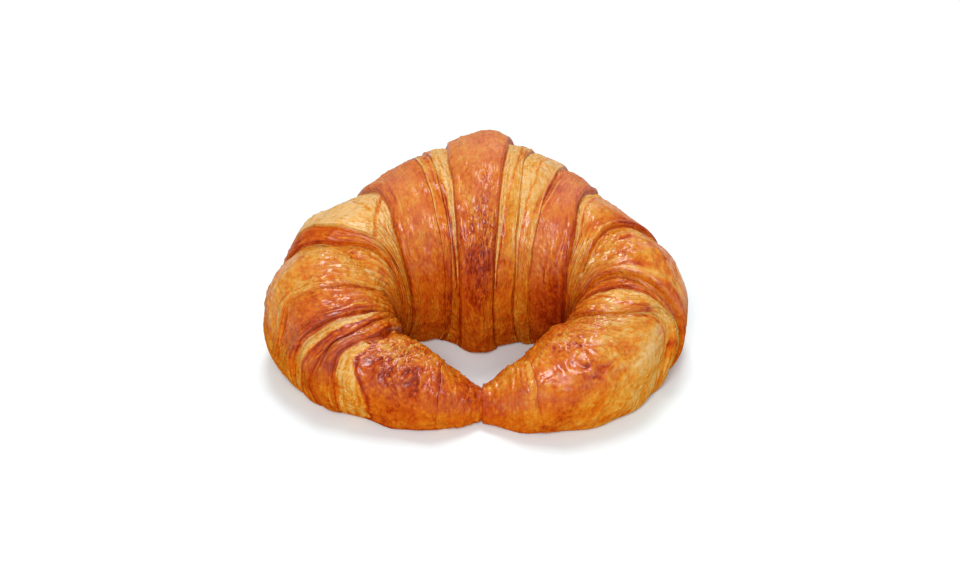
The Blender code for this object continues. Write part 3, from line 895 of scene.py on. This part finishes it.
    def wrinkle(self, glazed):
        """Fine wrinkles, most of them along the lips, and low lumps all over."""
        lines = np.abs(self.pattern("wrinkles")) + FINE_WRINKLES * np.abs(self.pattern("fine wrinkles"))
        wrinkle = step(*WRINKLE_ENDS, lines)
        self.fine -= glazed * WRINKLE_DEPTH * wrinkle * self.places("wrinkles")
        self.fine += LUMP_HEIGHT * self.pattern("lumps")
        self.fine += BROAD_LUMP_HEIGHT * self.pattern("broad lumps")

    def pleat_tips(self):
        """Both arms end in pleats that run to the seam."""
        tips = step(*TIP_STARTS, np.abs(self.along))
        sway = TIP_SWAY * self.pattern("tip pleats")
        pleats = np.sin(self.roll[..., 0] * 2 * math.pi / TIP_PITCH + sway)
        self.fine += TIP_HEIGHT * tips * pleats * self.places("tip pleats")

    def line_inside(self, number, outwards, on, inwards):
        """A line of the crust carried on along the roll, and set in towards the middle of the roll."""
        ring = surface(self.along[number] + outwards * on, self.angle[number], self.rise[number])
        return ring + (ring.mean(axis=0) - ring) * inwards

    def close(self, first, last):
        """Makes the piece a sleeve: both ends run on inside the next wraps, and an inner wall joins them."""
        rims = []
        for number, outwards, lip in ((0, -1, first < 0), (len(self.along) - 1, 1, last >= 0)):
            if abs(self.along[number].mean()) > HALF_ROLL - 1:
                carry = LEFT_END if number == 0 else RIGHT_END
            else:
                carry = AT_A_LIP if lip else UNDER_A_LIP
            rims.append([self.line_inside(number, outwards, on, inwards) for on, inwards in carry])
        middle = np.linspace(len(self.along) - 1, 0, INNER_LINES + 2).round().astype(int)[1:-1]
        wall = rims[1] + [self.line_inside(number, 0, 0, INNER_WALL) for number in middle] + rims[0][::-1]
        self.points = np.concatenate([self.points, wall])
        self.wall = len(wall)

    def painted(self):
        """The fields of PAINTED, in its order, with the last line's values on the inner wall."""
        tones = (self.tone, self.pale, self.bare)
        for values in (self.roll, *tones, self.layered, self.glaze, self.blistered, self.painted_sheen):
            yield np.pad(values, [(0, self.wall)] + [(0, 0)] * (values.ndim - 1), mode="edge")


def deselect_all():
    bpy.ops.object.select_all(action="DESELECT")


def sleeve_of(points, name):
    """A torus with one point for each of these, moved to them. Its long way round goes round the roll."""
    deselect_all()
    lines, around = points.shape[:2]
    bpy.ops.mesh.primitive_torus_add(
        major_segments=around, minor_segments=lines, major_radius=TORUS_RADIUS, minor_radius=1
    )
    sleeve = bpy.context.object
    sleeve.name = sleeve.data.name = name
    vertices = sleeve.data.vertices
    place = np.empty(len(vertices) * 3)
    vertices.foreach_get("co", place)
    x, y, z = place.reshape(-1, 3).T
    row = np.round(np.arctan2(y, x) / (2 * math.pi) * around).astype(int) % around
    line = np.arctan2(z, np.hypot(x, y) - TORUS_RADIUS) / (2 * math.pi) * lines
    line = np.round(line).astype(int) % lines
    vertices.foreach_set("co", (points[line, row] * MM).ravel())
    bpy.ops.object.mode_set(mode="EDIT")
    bpy.ops.mesh.select_all(action="SELECT")
    bpy.ops.mesh.normals_make_consistent(inside=False)
    bpy.ops.object.mode_set(mode="OBJECT")
    return sleeve, line, row


def paint(thing, name, values):
    """Values kept on the points of a mesh, for its material to read."""
    kind, field = ("FLOAT_VECTOR", "vector") if values.ndim > 1 else ("FLOAT", "value")
    layer = thing.data.attributes.new(name, kind, "POINT")
    layer.data.foreach_set(field, values.astype(np.float32).ravel())


def make_crust(finish):
    """The whole croissant, in pieces that part below a lip."""
    for name, first, last, rows_seen, rows_under in PIECES:
        baked = Crust(first, last, rows_seen, rows_under)
        crust, line, row = sleeve_of(baked.points, "crust_" + name)
        for field, values in zip(PAINTED, baked.painted()):
            paint(crust, field, values[line, row])
        crust.data.materials.append(finish)
        bpy.ops.object.shade_smooth()
        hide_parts("croissant")
        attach(crust, "root")


class Graph:
    """A tree of shader nodes, and short ways to add to it."""

    def __init__(self, tree):
        self.tree = tree

    def add(self, kind, inputs=None, **settings):
        """A node with these settings, and its inputs set or linked."""
        node = self.tree.nodes.new(kind)
        for name, value in settings.items():
            setattr(node, name, value)
        for socket, value in (inputs or {}).items():
            if isinstance(value, bpy.types.NodeSocket):
                self.tree.links.new(value, node.inputs[socket])
            else:
                node.inputs[socket].default_value = value
        return node

    def reckon(self, operation, *values):
        """The result of a sum on one, two or three values."""
        return self.add("ShaderNodeMath", dict(enumerate(values)), operation=operation).outputs[0]

    def times(self, first, *others):
        """The product of these values."""
        for other in others:
            first = self.reckon("MULTIPLY", first, other)
        return first

    def plus(self, start, *terms):
        """The start, and each value in turn by its weight."""
        for value, weight in terms:
            start = self.reckon("MULTIPLY_ADD", value, weight, start)
        return start

    def less(self, value):
        """What is missing from a value to 1."""
        return self.reckon("SUBTRACT", 1.0, value)

    def step(self, low, high, value):
        """0 at the first figure and 1 at the second, with a soft change between them."""
        sizes = {"Value": value, "From Min": low, "From Max": high}
        return self.add("ShaderNodeMapRange", sizes, interpolation_type="SMOOTHSTEP").outputs["Result"]

    def lumps(self, place, scale, detail, rough, stretch=None):
        """Random values around zero, in lumps 1 / scale across."""
        if stretch:
            place = self.add("ShaderNodeVectorMath", {0: place, 1: stretch}, operation="MULTIPLY").outputs[0]
        sizes = {"Vector": place, "Scale": scale, "Detail": detail, "Roughness": rough}
        return self.reckon("SUBTRACT", self.add("ShaderNodeTexNoise", sizes).outputs["Fac"], 0.5)

    def mixed_colour(self, factor, first, second):
        """A blend of two colours. The mix node has its colour sockets after those for values and vectors."""
        return self.add("ShaderNodeMix", {0: factor, 6: first, 7: second}, data_type="RGBA").outputs[2]


def cut_edges(dough, roll):
    """The edges of the cut layers: their change of tone and their height, from a coarse and a fine set."""
    line = dough.add("ShaderNodeSeparateXYZ", {0: roll}).outputs["X"]
    line = dough.reckon("ABSOLUTE", line)
    edges, faces, rises = [], [], []
    for pitch, sway_scale in CUTS:
        sway = dough.times(dough.lumps(roll, sway_scale, *CUT_SWAY), CUT_SWAYS)
        saw = dough.reckon("FRACT", dough.reckon("MULTIPLY_ADD", line, 1 / pitch, sway))
        edges.append(dough.step(*CUT_EDGE, saw))
        faces.append(dough.less(dough.step(*CUT_FACE, saw)))
        rises.append(dough.times(saw, CUT_RISE * pitch))
    dark = dough.plus(edges[0], (edges[1], FINE_CUTS))
    light = dough.plus(faces[0], (faces[1], FINE_CUTS))
    shade = dough.times(dough.reckon("SUBTRACT", dark, light), CUT_TONE)
    return shade, dough.reckon("ADD", *rises)


def dough_patterns(dough, roll):
    """The random patterns of GRAINS, and the masks of MASKS made from them."""
    grains = {name: dough.lumps(roll, *sizes) for name, sizes in GRAINS.items()}
    return grains | {name: dough.step(*ends, grains[name]) for name, ends in MASKS.items()}


def blisters(dough, roll, where):
    """Domes in the glaze, painted paler as a highlight."""
    sizes = {"Vector": roll, "Scale": DOME_SCALE, "Randomness": 1.0}
    near = dough.add("ShaderNodeTexVoronoi", sizes).outputs["Distance"]
    return dough.times(dough.less(dough.step(*DOME_ENDS, near)), where)


def weighted(seen, weights):
    """Each pattern with its weight."""
    return [(seen[name], weight) for name, weight in weights]


def tone_ramp(dough, tone):
    """The colour of the dough at each tone."""
    ramp = dough.add("ShaderNodeValToRGB", {"Fac": tone})
    stops = ramp.color_ramp.elements
    for _ in range(len(TONES) - len(stops)):
        stops.new(0.5)
    for stop, (place, colour) in zip(stops, TONES):
        stop.position, stop.color = place, (*colour, 1)
    return ramp.outputs["Color"]


def baked_dough():
    """The finish of baked dough: its colour, roughness, glaze and fine relief in millimetres."""
    group = bpy.data.node_groups.new("baked_dough", "ShaderNodeTree")
    for name in PAINTED:
        kind = "NodeSocketVector" if name == "roll" else "NodeSocketFloat"
        group.interface.new_socket(name, in_out="INPUT", socket_type=kind)
    for name, kind in (("Colour", "Color"), ("Roughness", "Float"), ("Coat", "Float"), ("Relief", "Float")):
        group.interface.new_socket(name, in_out="OUTPUT", socket_type="NodeSocket" + kind)
    dough = Graph(group)
    given = dough.add("NodeGroupInput").outputs
    roll, tone, pale, bare, layers, glaze, puckered, painted_sheen = (given[name] for name in PAINTED)
    seen = dough_patterns(dough, roll)
    # The crumb shows where a strip is bare, up to a ragged line
    crumb = dough.step(*CRUMB_ENDS, dough.plus(bare, *weighted(seen, CRUMB_LINE)))
    skin = dough.less(crumb)
    cut = dough.times(dough.reckon("MAXIMUM", layers, LEAST_CUT), seen["cuts"])
    cut_shade, cut_height = cut_edges(dough, roll)
    dome = dough.times(blisters(dough, roll, seen["domes"]), skin)
    # Small sharp folds in the glaze, dark in their creases
    crease = dough.times(dough.reckon("ABSOLUTE", seen["creases"]), puckered, skin)
    # The skin is more even in tone where its glaze is dull
    mottle = dough.plus(0.0, *weighted(seen, SKIN_MOTTLE))
    lively = dough.plus(LEAST_LIVELY, (glaze, LIVELY_GLAZE))
    baked = dough.plus(tone, (seen["broad"], BROAD_TONE), (mottle, lively), (cut_shade, cut))
    # Painted highlight on the domes and painted shade in the creases
    baked = dough.plus(baked, (dome, DOME_HIGHLIGHT), (crease, CREASE_SHADE))
    baked = dough.reckon("MINIMUM", baked, DARKEST)
    torn = dough.reckon("MAXIMUM", dough.plus(pale, *weighted(seen, CRUMB_MOTTLE)), 0.0)
    shown = dough.add("ShaderNodeMix", {"Factor": crumb, "A": baked, "B": torn}).outputs["Result"]
    # A painted sheen: a pinkish tint over the skin where its glaze is dull, in place of a soft reflection
    painted_sheen_mix = dough.times(painted_sheen, skin, SHEEN_SHARE)
    rough = dough.plus(SKIN_ROUGH, (crumb, CRUMB_ROUGHER), (seen["small"], ROUGH_VARIES))
    coat = dough.times(glaze, dough.plus(CRUMB_COAT, (skin, 1 - CRUMB_COAT)))
    coat = dough.times(coat, dough.plus(DRY_COAT, (seen["wet"], 1 - DRY_COAT)))
    relief = dough.plus(dough.times(cut_height, cut), (crease, CREASE_HEIGHT), *weighted(seen, SKIN_RELIEF))
    gritty = dough.times(crumb, GRIT_RELIEF)
    relief = dough.plus(relief, (dome, DOME_HEIGHT), (seen["grain"], gritty), (crumb, CRUMB_HEIGHT))
    finish = {
        "Colour": dough.mixed_colour(painted_sheen_mix, tone_ramp(dough, shown), (*SHEEN_COLOUR, 1)),
        "Roughness": rough,
        "Coat": coat,
        "Relief": relief,
    }
    dough.add("NodeGroupOutput", finish)
    return group


def crust_material(dough):
    material = bpy.data.materials.new("crust")
    material.use_nodes = True
    graph = Graph(material.node_tree)
    shader = material.node_tree.nodes["Principled BSDF"]
    finish = graph.add("ShaderNodeGroup", node_tree=dough)
    for name in PAINTED:
        read = graph.add("ShaderNodeAttribute", attribute_name=name)
        graph.tree.links.new(read.outputs["Vector" if name == "roll" else "Fac"], finish.inputs[name])
    raised = {"Height": finish.outputs["Relief"], "Distance": MM, "Strength": BUMP_STRENGTH}
    bump = graph.add("ShaderNodeBump", raised)
    for socket, source in (
        ("Base Color", finish.outputs["Colour"]),
        ("Roughness", finish.outputs["Roughness"]),
        ("Coat Weight", finish.outputs["Coat"]),
        ("Normal", bump.outputs["Normal"]),
    ):
        graph.tree.links.new(source, shader.inputs[socket])
    shader.inputs["Coat Roughness"].default_value = COAT_ROUGHNESS
    shader.inputs["Coat IOR"].default_value = COAT_IOR
    shader.inputs["Specular IOR Level"].default_value = 0.0
    return material


def make_floor():
    deselect_all()
    bpy.ops.mesh.primitive_plane_add(size=FLOOR_SIZE)
    floor = bpy.context.object
    floor.name = floor.data.name = "floor"
    material = bpy.data.materials.new("pale_floor")
    material.use_nodes = True
    shader = material.node_tree.nodes["Principled BSDF"]
    shader.inputs["Base Color"].default_value = FLOOR_COLOUR
    shader.inputs["Roughness"].default_value = FLOOR_ROUGHNESS
    shader.inputs["Specular IOR Level"].default_value = 0.0
    floor.data.materials.append(material)
    return floor


def make_lights():
    """An even sky, and soft square lights that face the croissant."""
    world = bpy.data.worlds.new("studio")
    bpy.context.scene.world = world
    world.use_nodes = True
    sky = world.node_tree.nodes["Background"]
    sky.inputs["Color"].default_value = (1, 1, 1, 1)
    sky.inputs["Strength"].default_value = SKY_STRENGTH
    for name, direction, size, power in LIGHTS:
        towards = Vector(direction).normalized()
        bpy.ops.object.light_add(type="AREA", location=towards * LIGHT_DISTANCE + LIT_PLACE)
        light = bpy.context.object
        light.name = name
        light.rotation_euler = towards.to_track_quat("Z", "Y").to_euler()
        light.data.size = size
        light.data.energy = power


def make_camera():
    back = Vector((0, -math.cos(math.radians(ELEVATION)), math.sin(math.radians(ELEVATION))))
    bpy.ops.object.camera_add(location=AIM + back * DISTANCE)
    camera = bpy.context.object
    camera.name = "camera"
    camera.rotation_euler = back.to_track_quat("Z", "Y").to_euler()
    camera.data.lens, camera.data.sensor_width = LENS, SENSOR
    camera.data.shift_x = (WIDTH / 2 - AIM_FALLS_AT[0]) / WIDTH
    camera.data.shift_y = (AIM_FALLS_AT[1] - HEIGHT / 2) / WIDTH
    camera.data.clip_start = CLIP_START
    bpy.context.scene.camera = camera
    bpy.context.scene.view_settings.view_transform = "Standard"


deselect_all()
make_camera()
make_crust(crust_material(baked_dough()))
make_floor()
make_lights()
